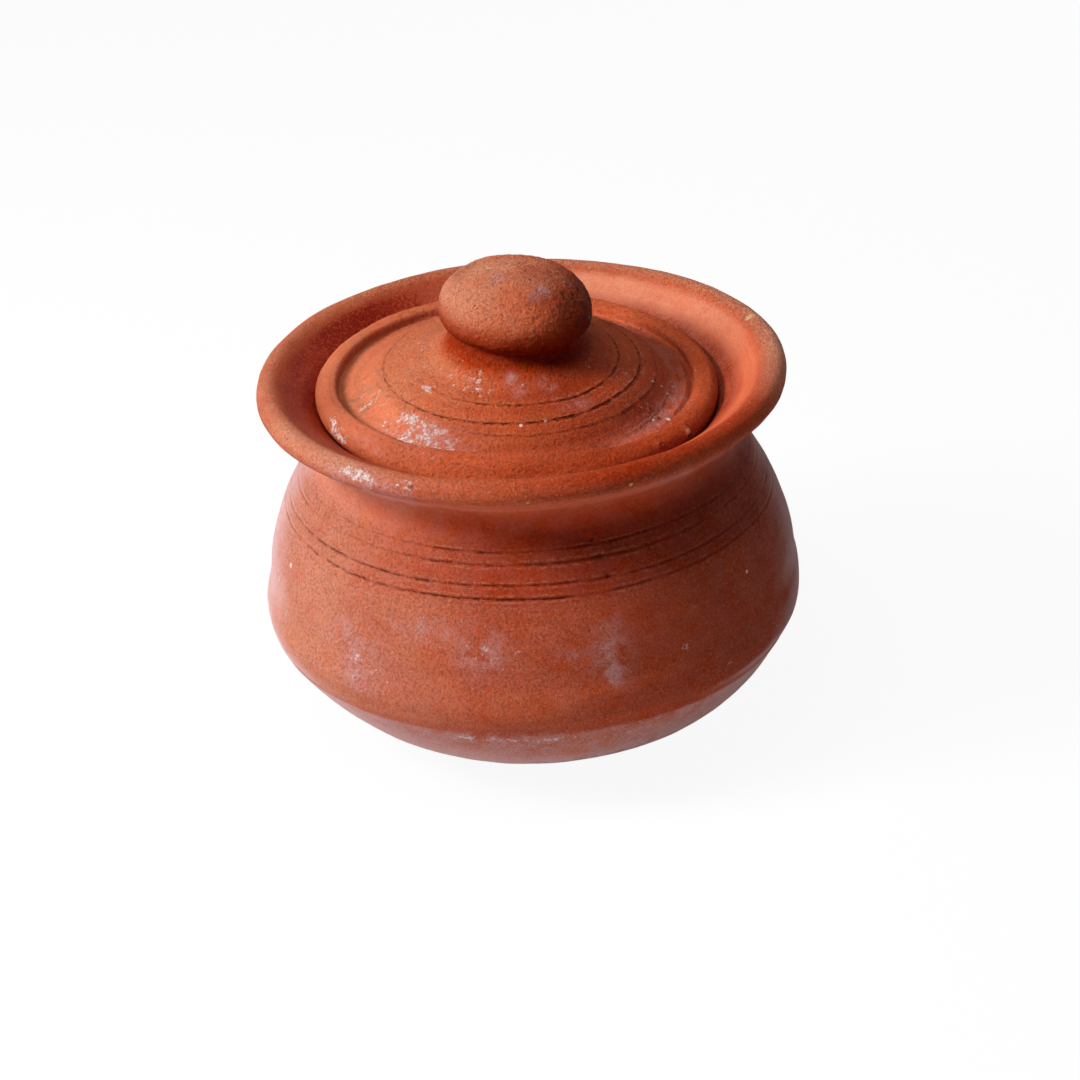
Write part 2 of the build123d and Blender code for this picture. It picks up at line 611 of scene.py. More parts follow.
class Sheet:
    """Node tree being drawn up, with short ways to add and to join nodes."""

    def __init__(self, tree: bpy.types.NodeTree) -> None:
        """Starts on a tree, and keeps the nodes that it already has."""
        self.tree = tree

    def feed(self, socket: Socket, value: Any) -> None:
        """Joins a socket to another, or sets its plain value.

        Args:
            socket: the socket that is fed.
            value: another socket, a plain value, or None to leave it as it is.
        """
        if isinstance(value, Socket):
            self.tree.links.new(value, socket)
        elif value is not None:
            socket.default_value = value

    def node(self, kind: str, given: dict[str | int, Any], **options: Any) -> Any:
        """Adds a node.

        Args:
            kind: the node's kind, without the words that every shader node starts with.
            given: what feeds each input, by the input's name or number.
            options: the node's options.

        Returns:
            The outputs of the node.
        """
        made = self.tree.nodes.new("ShaderNode" + kind)
        for key, value in options.items():
            setattr(made, key, value)
        for key, value in given.items():
            self.feed(made.inputs[key], value)
        return made.outputs

    def maths(self, way: str, *values: Any, clamp: bool = False) -> Socket:
        """Adds a sum of up to three values, of a kind that the Math node knows."""
        return self.node("Math", dict(enumerate(values)), operation=way, use_clamp=clamp)[0]

    def plus(self, first: Any, second: Any) -> Socket:
        """Adds two values up."""
        return self.maths("ADD", first, second)

    def times(self, first: Any, second: Any, plus: Any = None, clamp: bool = False) -> Socket:
        """Multiplies two values, and adds a third to that where there is one."""
        return self.maths("MULTIPLY" if plus is None else "MULTIPLY_ADD", first, second, plus, clamp=clamp)

    def arrows(self, way: str, *values: Any) -> Socket:
        """Adds a sum of up to three vectors, of a kind that the Vector Math node knows."""
        return self.node("VectorMath", dict(enumerate(values)), operation=way)[0]

    def step(self, value: Any, low: Any, high: Any, bottom: float = 0.0, top: float = 1.0) -> Socket:
        """Adds a smooth step from bottom to top between a low and a high value."""
        given = dict(enumerate((value, low, high, bottom, top)))
        return self.node("MapRange", given, interpolation_type="SMOOTHSTEP")[0]

    def mix(self, share: Socket, under: Any, over: Any) -> Socket:
        """Adds a mix of two colours, of which the second covers by its share."""
        return self.node("Mix", {0: share, 6: under, 7: over}, data_type="RGBA")[2]

    def scale(self, size: Any) -> Any:
        """Scale of a texture whose patches have about the given size in metres."""
        return self.maths("DIVIDE", 1.0, size) if isinstance(size, Socket) else 1 / size

    def speckle(self, place: Socket, size: Any, detail: float = 2.0, roughness: float = 0.5) -> Socket:
        """Adds a cloudy noise whose patches have about the given size in metres."""
        given = {"Vector": place, "Scale": self.scale(size), "Detail": detail, "Roughness": roughness}
        return self.node("TexNoise", given)[0]

    def cells(self, place: Socket, size: Any) -> tuple[Socket, Socket]:
        """Adds grains of about the given size: the distance from each grain and its random lot."""
        grains = self.node("TexVoronoi", {"Vector": place, "Scale": self.scale(size)})
        return grains["Distance"], self.node("SeparateColor", {0: grains["Color"]})[0]

    def layer(self, layer: Layer) -> Socket:
        """Reads one of the values kept on the vertices."""
        return self.node("Attribute", {}, attribute_name=layer.value)["Fac"]

    def effect(self, group: bpy.types.NodeTree, **values: Any) -> Any:
        """Places a shared effect and feeds its inputs, named with underscores for spaces."""
        given = {key.replace("_", " "): value for key, value in values.items()}
        return self.node("Group", given, node_tree=group)

    def blend(self, share: Socket, first: Socket, second: Socket, end: str) -> None:
        """Mixes two shaders by a share into the surface of the tree's end node."""
        mixed = self.node("MixShader", {0: share, 1: first, 2: second})[0]
        self.feed(self.tree.nodes[end].inputs["Surface"], mixed)


class Effect(Sheet):
    """Shared effect: a node group with named inputs and outputs."""

    def __init__(self, name: str, **defaults: Any) -> None:
        """Makes the group and its inputs, of which the first is the place on the clay.

        Args:
            name: name of the effect.
            defaults: default value of each further input, named with underscores for spaces.
        """
        super().__init__(bpy.data.node_groups.new(name, "ShaderNodeTree"))
        for key, value in {"Place": (0, 0, 0), **defaults}.items():
            kind = "NodeSocketVector" if isinstance(value, tuple) else "NodeSocketFloat"
            face = self.tree.interface
            face.new_socket(name=key.replace("_", " "), in_out="INPUT", socket_type=kind).default_value = value
        self.given = self.tree.nodes.new("NodeGroupInput").outputs
        self.place = self.given["Place"]

    def giving(self, **results: Socket) -> bpy.types.NodeTree:
        """Joins the results to new outputs.

        Args:
            results: the result for each output, named with underscores for spaces.

        Returns:
            The group.
        """
        for key in results:
            self.tree.interface.new_socket(
                name=key.replace("_", " "), in_out="OUTPUT", socket_type="NodeSocketFloat")
        end = self.tree.nodes.new("NodeGroupOutput")
        for socket, value in zip(end.inputs, results.values()):
            self.feed(socket, value)
        return self.tree


class Effects:
    """The effects that the finishes share, each built once."""

    def __init__(self) -> None:
        """Builds every effect."""
        self.sand = self._sand()
        self.streaks = self._streaks()
        self.crack = self._crack()
        self.salt = self._salt()
        self.veil = self._veil()
        self.pin_holes = self._pin_holes()
        self.spot = self._spot()

    def _sand(self) -> bpy.types.NodeTree:
        """Draws up the sand in the clay.

        Returns:
            A group that gives light grains, dark grains, fine tone and the height of all.
        """
        sheet = Effect("sand in the clay", Grain_Size=0.0008, Share=0.3)
        place, size = sheet.place, sheet.given["Grain Size"]
        edge = sheet.times(sheet.given["Share"], -0.3, 0.68)
        over = sheet.plus(edge, 0.07)
        light = sheet.step(sheet.speckle(place, size, 4.0, 0.8), edge, over)
        shifted = sheet.arrows("ADD", place, (0.37, 0.11, 0.53))
        dark = sheet.step(sheet.speckle(shifted, size, 4.0, 0.85), edge, over)
        fine = sheet.speckle(place, sheet.times(size, 2.2), 5.0, 0.9)
        stirred = sheet.node("TexNoise", {"Vector": place, "Scale": sheet.scale(size)})["Color"]
        spread = sheet.node("VectorMath", {0: stirred, "Scale": sheet.times(size, 1.1)}, operation="SCALE")[0]
        apart, lot = sheet.cells(sheet.arrows("ADD", place, spread), sheet.times(size, 0.85))
        height = sheet.times(fine, 0.7, sheet.times(apart, -0.2))
        for part, rise in ((lot, 0.13), (light, 0.06), (dark, -0.1)):
            height = sheet.times(part, rise, height)
        return sheet.giving(Light_Grains=light, Dark_Grains=dark, Tone=fine, Height=height)

    def _streaks(self) -> bpy.types.NodeTree:
        """Draws up the streaks that run round a piece from throwing on the wheel.

        Returns:
            A group that gives their tone.
        """
        sheet = Effect("throwing streaks", Spacing=0.004)
        parts = sheet.node("SeparateXYZ", {0: sheet.place})
        squares = [sheet.maths("POWER", part, 2.0) for part in (parts[0], parts[1])]
        away = sheet.maths("SQRT", sheet.plus(*squares))
        line = sheet.node("CombineXYZ", {0: away, 2: parts[2]})[0]
        drift = sheet.arrows("MULTIPLY_ADD", sheet.place, (0.05, 0.05, 0), line)
        return sheet.giving(Tone=sheet.speckle(drift, sheet.given["Spacing"], 3.0, 0.55))

    def _crack(self) -> bpy.types.NodeTree:
        """Draws up the ragged dark crack along a groove, from the distance to its line.

        Returns:
            A group that gives the crack's shadow and the dotted painted highlight on the raised ridge beside
            it.
        """
        sheet = Effect("groove crack", Distance=0.0, Strength=1.0, Width=0.0003)
        place, strength = sheet.place, sheet.given["Strength"]
        ragged = sheet.plus(sheet.speckle(place, 0.0014, 4.0, 0.75), -0.5)
        away = sheet.times(ragged, 0.0016, sheet.given["Distance"])
        breaks = sheet.step(sheet.speckle(place, 0.0032), 0.38, 0.6)
        width = sheet.times(sheet.given["Width"], sheet.times(breaks, 1.1, 0.25))
        line = sheet.step(sheet.maths("DIVIDE", away, width), 0.7, 1.1, 1.0, 0.0)
        rise = sheet.times(sheet.step(away, 0.0005, 0.0009), sheet.step(away, 0.0010, 0.0017, 1.0, 0.0))
        dots_shown = sheet.times(sheet.step(sheet.speckle(place, 0.0018, 3.0, 0.7), 0.42, 0.6), strength)
        return sheet.giving(Shadow=sheet.times(line, strength, clamp=True), Ridge=sheet.times(rise, dots_shown))

    def _salt(self) -> bpy.types.NodeTree:
        """Draws up the white salt that has come out of the clay in crusts and specks.

        Returns:
            A group that gives the mask of the salt.
        """
        sheet = Effect("salt bloom", Amount=0.0, Crust_Size=0.0026, Specks=0.2)
        place, amount = sheet.place, sheet.given["Amount"]
        low = sheet.times(sheet.maths("SUBTRACT", 1.0, amount), 0.27, 0.34)
        crust = sheet.speckle(place, sheet.given["Crust Size"], 6.0, 0.75)
        cloud = sheet.step(crust, low, sheet.plus(low, 0.13))
        broken = sheet.step(sheet.speckle(place, 0.0011, 4.0, 0.8), 0.42, 0.52, 0.05, 1.0)
        crust = sheet.times(sheet.times(cloud, sheet.step(amount, 0.02, 0.3)), broken)
        low = sheet.times(sheet.times(amount, sheet.given["Specks"]), -0.16, 0.71)
        speck = sheet.step(sheet.speckle(place, 0.0011, 2.0, 0.6), low, sheet.plus(low, 0.05))
        speck = sheet.times(speck, sheet.step(amount, 0.0, 0.1))
        return sheet.giving(Mask=sheet.maths("MAXIMUM", crust, speck))

    def _veil(self) -> bpy.types.NodeTree:
        """Draws up a thin veil that lets the clay through in patches.

        Returns:
            A group that gives the mask of the veil.
        """
        # This veil masks the painted light, painted shade and painted red shade as well as the real dust and
        # soot.
        sheet = Effect("patchy veil", Amount=0.0, Patch_Size=0.01, Thin=0.4)
        broad = sheet.speckle(sheet.place, sheet.given["Patch Size"], 4.0, 0.6)
        fine = sheet.speckle(sheet.place, 0.001, 3.0, 0.7)
        cover = sheet.times(
            sheet.step(broad, 0.36, 0.58, sheet.given["Thin"], 1.0), sheet.step(fine, 0.34, 0.6, 0.55, 1.0))
        return sheet.giving(Mask=sheet.times(cover, sheet.given["Amount"], clamp=True))

    def _pin_holes(self) -> bpy.types.NodeTree:
        """Draws up scattered pin holes in the skin of the clay.

        Returns:
            A group that gives the mask of the holes.
        """
        sheet = Effect("pin holes", Spacing=0.005, Share=0.12, Size=0.00025)
        distance, lot = sheet.cells(sheet.place, sheet.given["Spacing"])
        taken = sheet.maths("LESS_THAN", lot, sheet.given["Share"])
        size = sheet.maths("DIVIDE", sheet.given["Size"], sheet.given["Spacing"])
        size = sheet.times(size, sheet.speckle(sheet.place, 0.0006, 3.0, 0.7))
        hole = sheet.step(distance, size, sheet.times(size, 2.4), 1.0, 0.0)
        return sheet.giving(Mask=sheet.times(taken, hole))

    def _spot(self) -> bpy.types.NodeTree:
        """Draws up one small spot with a ragged edge.

        Returns:
            A group that gives the mask of the spot.
        """
        sheet = Effect("small spot", Centre=(0, 0, 0), Reach=0.0006)
        apart = sheet.node("VectorMath", {0: sheet.place, 1: sheet.given["Centre"]}, operation="DISTANCE")
        ragged = sheet.plus(sheet.speckle(sheet.place, 0.0008, 3.0, 0.7), -0.5)
        share = sheet.times(ragged, 1.6, sheet.maths("DIVIDE", apart["Value"], sheet.given["Reach"]))
        return sheet.giving(Mask=sheet.step(share, 0.55, 1.05, 1.0, 0.0))


@dataclass(frozen=True)
class ClayFinish:
    """Finish of fired terracotta: its tones, its sand, its painted light and shade, and how much of each mark
    shows.
    """

    name: str
    warm: Colour = clay(198, 83, 40)
    deep: Colour = clay(178, 60, 20)
    # Dark red of the painted shade.
    dark_shade: Colour = clay(112, 16, 0)
    # Saturated red of the painted red shade.
    red_shade: Colour = clay(188, 58, 2)
    # Pale colour of the painted light; the light sand grains and the painted highlight on groove ridges take it
    # too.
    lit_pale: Colour = clay(210, 142, 112)
    dust: Colour = clay(198, 134, 128)
    salt: Colour = clay(236, 216, 212)
    soot: Colour = clay(54, 42, 36)
    shadow: Colour = clay(70, 22, 10)
    chip: Colour = clay(222, 176, 128)
    # Pale tint of the painted sheen.
    edge_sheen: Colour = clay(226, 184, 184)
    grain_size: float = 0.0009
    grain_share: float = 0.5
    light_grains: float = 0.5
    dark_grains: float = 0.35
    tone_spread: float = 0.6
    grain_height: float = 0.0013
    streak_spacing: float = 0.003
    streak_height: float = 0.0003
    crack_width: float = 0.00024
    crack_shade: float = 0.7
    ridge_shine: float = 0.4
    hole_spacing: float = 0.005
    hole_share: float = 0.12
    specks: float = 0.6
    edge_sheen_strength: float = 0.85
    gloss: float = 0.08

    def mixed(self, effects: Effects, spots: list[tuple[Spot, Vector]], laid: Matrix) -> bpy.types.Material:
        """Mixes the finish.

        Args:
            effects: the shared effects.
            spots: the small spots and where each is, in metres.
            laid: how the piece lies, from its own upright frame.

        Returns:
            The material.
        """
        material = bpy.data.materials.new(self.name)
        material.use_nodes = True
        sheet = Sheet(material.node_tree)
        shader = material.node_tree.nodes["Principled BSDF"].inputs
        place = sheet.node("TexCoord", {})["Object"]
        back = {"Vector": place, "Location": laid.to_translation(), "Rotation": laid.to_euler()}
        upright = sheet.node("Mapping", back, vector_type="TEXTURE")[0]
        smooth = sheet.layer(Layer.SMOOTH)
        sandy = sheet.times(smooth, -0.8, 1.0)
        sand = sheet.effect(effects.sand, Place=place, Grain_Size=self.grain_size, Share=self.grain_share)
        streaks = sheet.effect(effects.streaks, Place=upright, Spacing=self.streak_spacing)["Tone"]
        salt = sheet.effect(
            effects.salt, Place=place, Amount=sheet.layer(Layer.SALT), Specks=self.specks)["Mask"]
        holes = sheet.effect(
            effects.pin_holes, Place=place, Spacing=self.hole_spacing, Share=self.hole_share)["Mask"]
        crack = sheet.effect(
            effects.crack, Place=place, Distance=sheet.layer(Layer.CRACK),
            Strength=sheet.layer(Layer.CRACK_STRENGTH), Width=self.crack_width)
        # The first three masks are painted light, painted red shade and painted shade; dust and soot are the
        # clay's own.
        pale, red_shade, deep, dust, soot = (
            sheet.effect(
                effects.veil, Place=where, Amount=sheet.layer(layer), Patch_Size=size, Thin=thin)["Mask"]
            for layer, where, size, thin in (
                (Layer.PAINTED_LIGHT, place, 0.012, 0.75), (Layer.PAINTED_RED_SHADE, upright, 0.02, 0.8),
                (Layer.PAINTED_SHADE, place, 0.02, 0.8), (Layer.DUST, upright, 0.008, 0.15),
                (Layer.SOOT, place, 0.003, 0.4)))

        tone = sheet.times(sheet.speckle(place, 0.03, 5.0, 0.6), 0.45)
        tone = sheet.times(sand["Tone"], 0.2, sheet.times(streaks, 0.35, tone))
        half = self.tone_spread * 0.15
        colour = sheet.mix(sheet.step(tone, 0.5 - half, 0.5 + half), self.deep, self.warm)
        light_shown = sheet.times(
            sheet.maths("MAXIMUM", deep, red_shade), -self.light_grains, self.light_grains)
        # Painted sheen: the pale tint covers the clay where its face turns away from the view.
        facing = sheet.node("LayerWeight", {"Blend": 0.5})["Facing"]
        edge = sheet.step(facing, 0.58, 0.95, 0.0, self.edge_sheen_strength)
        kinds = {
            SpotKind.PIT: (self.shadow, 0.55),
            SpotKind.CHIP: (self.chip, 0.85),
            SpotKind.GRAIN: (self.salt, 0.85),
        }
        coats = [
            (pale, 1.0, self.lit_pale), (red_shade, 1.0, self.red_shade), (deep, 1.0, self.dark_shade), (dust, 1.0, self.dust),
            (sand["Light Grains"], sheet.times(sandy, light_shown), self.lit_pale),
            (sand["Dark Grains"], sheet.times(sandy, self.dark_grains), self.shadow),
            (soot, 1.0, self.soot), (salt, 0.85, self.salt), (holes, 0.6, self.shadow),
            # The ridge beside each groove gets a painted highlight, the crack a painted shadow.
            (crack["Ridge"], self.ridge_shine, self.lit_pale), (crack["Shadow"], self.crack_shade, self.shadow),
        ]
        for spot, centre in spots:
            tint, share = kinds[spot.kind]
            spot_mask = sheet.effect(effects.spot, Place=place, Centre=centre, Reach=spot.reach * MM)["Mask"]
            coats.append((spot_mask, share, tint))
        for mask, share, tint in (*coats, (edge, sheet.layer(Layer.PAINTED_SHEEN), self.edge_sheen)):
            colour = sheet.mix(mask if share == 1.0 else sheet.times(mask, share), colour, tint)
        sheet.feed(shader["Base Color"], colour)
        sheet.feed(shader["Specular IOR Level"], self.gloss)
        sheet.feed(shader["Roughness"], sheet.step(smooth, 0.0, 1.0, 0.88, 0.6))

        height = sheet.times(sand["Height"], sheet.times(sandy, self.grain_height))
        for mask, rise in (
            (crack["Shadow"], -0.0004), (crack["Ridge"], 0.00015), (salt, 0.00012), (holes, -0.0002),
            (streaks, self.streak_height),
        ):
            height = sheet.times(mask, rise, height)
        bump = sheet.node("Bump", {"Height": height, "Distance": 1.0, "Strength": 1.0})["Normal"]
        sheet.feed(shader["Normal"], bump)
        return material


@dataclass
class Pot:
    """The thrown pot: a rounded bowl, a grooved shoulder and a flared mouth that seats the lid."""

    resting_radius: float = 28.5
    floor_height: float = 9.0
    foot_line: Pair = (91.3, 36.6)
    belly: Pair = (94.7, 46.5)
    neck: Pair = (73.0, 106.0)
    lip_middle: Pair = (86.8, 126.0)
    lip_radius: float = 4.5
    lip_under: Pair = (90.0, 122.8)
    seat: Pair = (71.86, 120.6)
    throat: Pair = (65.2, 106.5)
    bowl_power: float = 2.5
    turns: int = 368
    lip_lean: float = 1.25
    lean_side: float = 50.0
    low_side_sag: float = 2.4
    widest: float = 94.9

    low_side = around(0, 0.9, 40, 0.3, 90, 0, 250, 0.15, 280, 0.55, 320, 1)
    right_side = around(0, 1.2, 50, 0.5, 90, 0, 140, -0.2, 180, -0.6, 220, -0.3, 280, 0.1, 330, 1)
    # Painted light by bearing: these pale tables lighten the body, the lip and the inside of the mouth where
    # they face the window lamp.
    body_lit_pale = around(
        0, 0.12, 45, 0.35, 90, 0.45, 135, 0.7, 180, 1, 215, 0.8, 240, 0.45, 265, 0.2, 290, 0.1, 330, 0.08)
    mouth_lit_pale = around(0, 0.35, 30, 0.75, 70, 0.9, 100, 0.45, 140, 0, 230, 0, 330, 0.2)
    lip_lit_pale = around(0, 1.3, 30, 1, 180, 0.7, 225, 1.3, 250, 0.4, 270, 0.15, 320, 0.1)
    body_dust = around(
        0, 0.3, 30, 0.5, 60, 0.3, 90, 0.3, 170, 0.35, 200, 0.28, 225, 0.2, 270, 0.12, 320, 0.12)
    under_lip_dust = around(0, 0.8, 60, 0.4, 180, 0.5, 230, 0.7, 255, 0.3, 285, 0.25, 310, 0.6)
    # Painted shade and painted red shade by bearing: these tables darken and redden the neck, shoulder, body,
    # mouth and lip on the sides away from the window lamp.
    neck_red_shade = around(0, 0.5, 90, 0.3, 150, 0.1, 200, 0.1, 230, 0.5, 260, 1.1, 290, 1.1, 320, 0.6)
    shoulder_shade = around(0, 0.5, 60, 0.2, 90, 0, 240, 0, 270, 0.25, 290, 0.35, 320, 0.55)
    shoulder_red_shade = around(0, 0.4, 60, 0.2, 90, 0, 215, 0.1, 245, 0.55, 270, 1.15, 300, 1, 330, 0.6)
    body_shade = around(0, 0.45, 50, 0.2, 90, 0, 240, 0, 290, 0.12, 320, 0.4)
    body_red_shade = around(0, 0.2, 50, 0.1, 90, 0, 230, 0, 265, 0.3, 295, 0.6, 320, 0.3)
    mouth_shade = around(
        0, 0.1, 75, 0.15, 100, 0.6, 130, 1.25, 180, 1, 215, 0.7, 260, 0.2, 300, 0.3, 330, 0.15)
    lip_red_shade = around(0, 0, 180, 0.15, 240, 0.1, 265, 0.3, 295, 1.2, 325, 1, 345, 0.3)
    groove_clear = around(
        0, 0.15, 90, 0.2, 180, 0.2, 200, 0.5, 215, 0.8, 235, 1, 270, 1.1, 285, 0.8, 310, 0.4)

    # The long salt and dust marks along the foot line at the front, at bearings 258 and 262, also paint a
    # highlight on that edge.
    marks = (
        *patches(
            Layer.SALT, (232.8, 89.4, 127.5, 3, 1, 2.2), (244.4, 89.4, 127.7, 2.4, 1, 1.3),
            (258, 89.2, 33.6, 1.9, 0.7, 16), (259, 90.6, 67, 8, 0.3, 1.5), (229, 92.4, 57, 9, 0.31, 1.5),
            (286, 91.6, 60, 8, 0.2, 0.7), (196, 91, 66, 5, 0.4, 1), (302.8, 92.3, 59.4, 1.6, 0.5, 1.2),
            (313.3, 94.7, 47.4, 1.3, 0.5, 1.2)),
        *patches(
            Layer.DUST, (235, 90.5, 124.5, 5, 1, 3.6), (230.5, 77, 112, 5.5, 1, 2.6),
            (262, 90, 34.4, 3.4, 0.9, 13), (262, 76, 20, 12, 0.8, 9), (80, 76, 20, 12, 0.6, 9),
            (227.5, 91.2, 62.9, 10, 0.9, 1.5), (230.2, 93.5, 51, 6, 0.9, 1.5), (259, 90.6, 67, 9, 0.75, 1.1),
            (286, 91.6, 62, 12, 1, 0.55), (278, 91, 66, 2.4, 0.5, 6), (246, 89, 74, 6, 0.55, 3.4)),
    )
    spots = (
        *dots(
            SpotKind.PIT, (245.9, 89.9, 127.3, 0.9), (189.3, 87.5, 130.4, 0.5), (209.5, 89.9, 128.2, 0.5),
            (285.5, 76.2, 98.1, 0.9), (286.2, 79.2, 93.9, 1.1), (281.9, 88.8, 73.1, 0.6),
            (287.5, 82.9, 88.2, 1)),
        *dots(SpotKind.CHIP, (18.9, 85, 130, 2), (270, 90.8, 123.8, 0.6), (292, 91.2, 125, 0.7)),
        *dots(SpotKind.GRAIN, (324, 89.7, 73.3, 0.8), (201.9, 87.9, 74, 1)),
    )

    def outline(self) -> Outline:
        """Draws the half section, from the middle underneath over the lip to the middle inside.

        Returns:
            The outline.
        """
        drawn = Outline().line((0, 0), (self.resting_radius, 0))
        reach = self.foot_line[0] - self.resting_radius
        drawn.formula(300, lambda share: (
            self.resting_radius + reach * share, self.foot_line[1] * share ** self.bowl_power))
        drawn.sweep(self.belly, (1.5, 3.0), (0, 3.5))
        drawn.through(
            (92.6, 56.0), (91.2, 65.5), (88.4, 75.1), (84.8, 84.5), (82.4, 89.1), (79.2, 94.8), (76.4, 98.6))
        drawn.sweep(self.neck, (-1.6, 2.4), (0, 2.8))
        drawn.sweep(on_circle(self.lip_middle, self.lip_radius, -45), (0, 8.5), (5.5, 5.5))
        drawn.arc(self.lip_middle, self.lip_radius, -45, 123)
        drawn.sweep(self.seat, (-3.5, -2.3), (-3.6, -3.2))
        drawn.line((65.14, 112.6))
        drawn.sweep(self.throat, (-1.3, -1.6), (1.0, -2.0))
        drawn.through((71.5, 95.5), (78.4, 82.5), (84.3, 64.6), (87.6, 47.0), (85.4, 40.6))
        drawn.through((70.8, 23.0), (56.6, 12.9), (43.0, 9.2), (28.0, self.floor_height))
        return drawn.line((0, self.floor_height))

    def build(self, effects: Effects) -> bpy.types.Object:
        """Throws, works and dresses the pot.

        Args:
            effects: the shared effects.

        Returns:
            The pot.
        """
        outline = self.outline()
        outside = outline.place_of((self.resting_radius, 0))
        crest = outline.place_of((self.lip_middle[0], self.lip_middle[1] + self.lip_radius))
        foot, belly, neck, lip_under = map(
            outline.place_of, (self.foot_line, self.belly, self.neck, self.lip_under))
        seat, throat = outline.place_of(self.seat, crest), outline.place_of(self.throat, crest)
        grooves = [
            Groove((77.4, 97.2), 0.40, 0.45, 0.25, self.groove_clear, 1, 1.1, 268),
            Groove((79.7, 93.9), 0.50, 0.45, 0.30, self.groove_clear, 2, 0.5, 268),
            Groove((83.0, 88.1), 0.60, 0.42, 0.30, self.groove_clear, 3, 0.4, 268),
            Groove((84.8, 84.2), 0.65, 0.42, 0.30, self.groove_clear, 4),
        ]
        lines = [outline.place_of(groove.place) for groove in grooves]

        def spacing(along: float) -> float:
            """Close rows at the grooves and the lip, open ones out of sight.

            Args:
                along: distance along the outline.

            Returns:
                How far apart the rows are.
            """
            if min(abs(along - line) for line in lines) < 1.4:
                return 0.3
            if along < foot - 6:
                return 4.0 if along < outside else 2.0
            if along > throat + 4:
                return 5.5
            if lip_under - 3 < along < seat - 10:
                return 0.8
            return 1.05 if along < lip_under else 1.4

        def touch(here: Touch) -> None:
            """Leaves the hand's waves in the wall, lets the pot stray from a true round, and lays its layers.

            Args:
                here: the vertex, changed in place.
            """
            side, along = here.bearing, here.along
            here.out += 0.35 * noise.noise(here.place / 28) + 0.12 * noise.noise(here.place / 7) - 0.3
            if outside < along < neck:
                low = bump_shape(here.point.y - 20, 14) * smooth_step(outside, outside + 14, along)
                here.out += self.low_side_sag * low * self.low_side.at(side)
                here.out += self.right_side.at(side) * band(along, foot, belly, neck - 14, neck)
                over = here.point.x + here.out - self.widest + 1
                if over > 0:
                    here.out -= over - 1 + math.exp(-over)
            mouth = band(along, neck, lip_under, seat - 12, seat)
            here.push += UP * (self.lip_lean * math.cos(math.radians(side - self.lean_side)) * mouth)
            body = band(along, foot - 4, foot + 6, neck - 2, neck + 12)
            bowl = band(along, outside, outside + 10, foot - 1.5, foot + 0.8)
            shoulder = band(along, lines[-1] - 4, lines[-1], neck - 4, neck)
            in_neck = bump_shape(along - (neck - 1), 6) * self.neck_red_shade.at(side)
            lip = bump_shape(along - (crest - 2), 6)
            lip_red_shade = self.lip_red_shade.at(side) * lip
            under_lip = bump_shape(along - (lip_under - 4), 5.5)
            in_mouth = smooth_step(crest + 2, crest + 8, along)
            open_mouth = in_mouth * (1 - smooth_step(seat, throat, along))
            at_seat = band(along, seat - 8, seat, throat - 3, throat + 4)
            inside = smooth_step(throat - 4, throat + 8, along)
            # Painted light on the lit side of the body, the lip and the mouth, and on the bowl.
            here.lay(
                Layer.PAINTED_LIGHT, self.body_lit_pale.at(side) * body, 0.3 * bowl, self.lip_lit_pale.at(side) * lip,
                self.mouth_lit_pale.at(side) * in_mouth)
            here.lay(
                Layer.DUST, self.body_dust.at(side) * body, self.under_lip_dust.at(side) * under_lip, bowl,
                0.3 * inside)
            # Painted shade on the far side, the shoulder, the neck, the lip, the open mouth and the seat where
            # the lid sits.
            here.lay(
                Layer.PAINTED_SHADE, self.body_shade.at(side) * body, self.shoulder_shade.at(side) * shoulder,
                0.12 * in_neck, 0.4 * lip_red_shade, self.mouth_shade.at(side) * open_mouth, 0.9 * at_seat)
            # Painted red shade on the far side, the shoulder, the neck and the lip.
            here.lay(
                Layer.PAINTED_RED_SHADE, self.body_red_shade.at(side) * body, self.shoulder_red_shade.at(side) * shoulder, in_neck,
                lip_red_shade)
            here.lay(Layer.SALT, 0.2 * bowl)
            # Painted sheen over the body and the bowl.
            here.lay(Layer.PAINTED_SHEEN, body, bowl)
            here.lay(Layer.SMOOTH, in_mouth, 0.6 * band(along, neck - 10, neck - 2, lip_under - 4, lip_under))

        piece = TurnedPiece("pot_clay", outline, self.turns, spacing, self.marks, self.spots, grooves)
        skin = piece.thrown(touch)
        finish = ClayFinish("pot_terracotta").mixed(effects, piece.spot_centres(skin), Matrix())
        return piece.fired(skin, Body.POT, "pot", finish)


